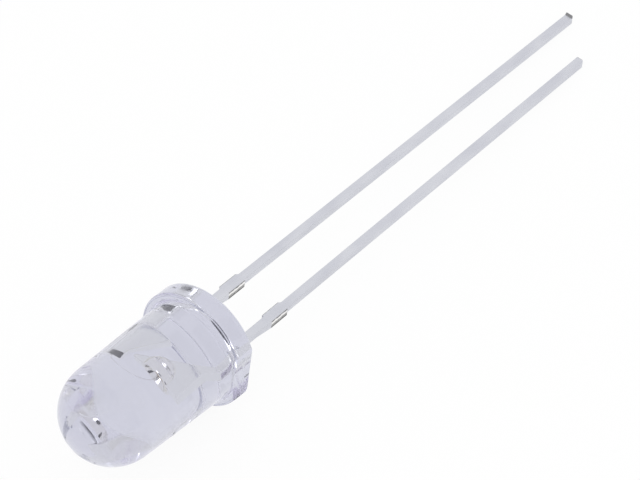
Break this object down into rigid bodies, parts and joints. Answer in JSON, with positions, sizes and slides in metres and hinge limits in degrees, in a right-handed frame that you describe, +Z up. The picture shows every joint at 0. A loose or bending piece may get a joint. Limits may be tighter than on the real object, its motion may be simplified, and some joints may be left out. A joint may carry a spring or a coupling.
{
  "type": "through hole led",
  "caption": "Round water-clear light-emitting diode with a domed lens, a flange with a polarity flat and long square leads with tie-bar stubs, lying on its flange rim and lead tips.",
  "frame": {"origin": "on the ground plane, under the middle of the lying part's box", "axes": "+X along the lens axis as seen from above, from the lead tips towards the dome; +Y from the anode lead towards the cathode lead and the flange's flat; +Z up"},
  "size_m": [0.037, 0.0056, 0.0059],
  "materials": {
    "clear_epoxy": "gloss",
    "plated_steel": "satin",
    "chip": "satin",
    "silver_paste": "matte",
    "silver_wire": "polished"
  },
  "bodies": {
    "root": {"lens": "clear_epoxy", "anode_lead": "plated_steel", "cathode_lead": "plated_steel", "led_chip": "chip", "die_attach": "silver_paste", "bond_wire": "silver_wire"}
  },
  "joints": []
}
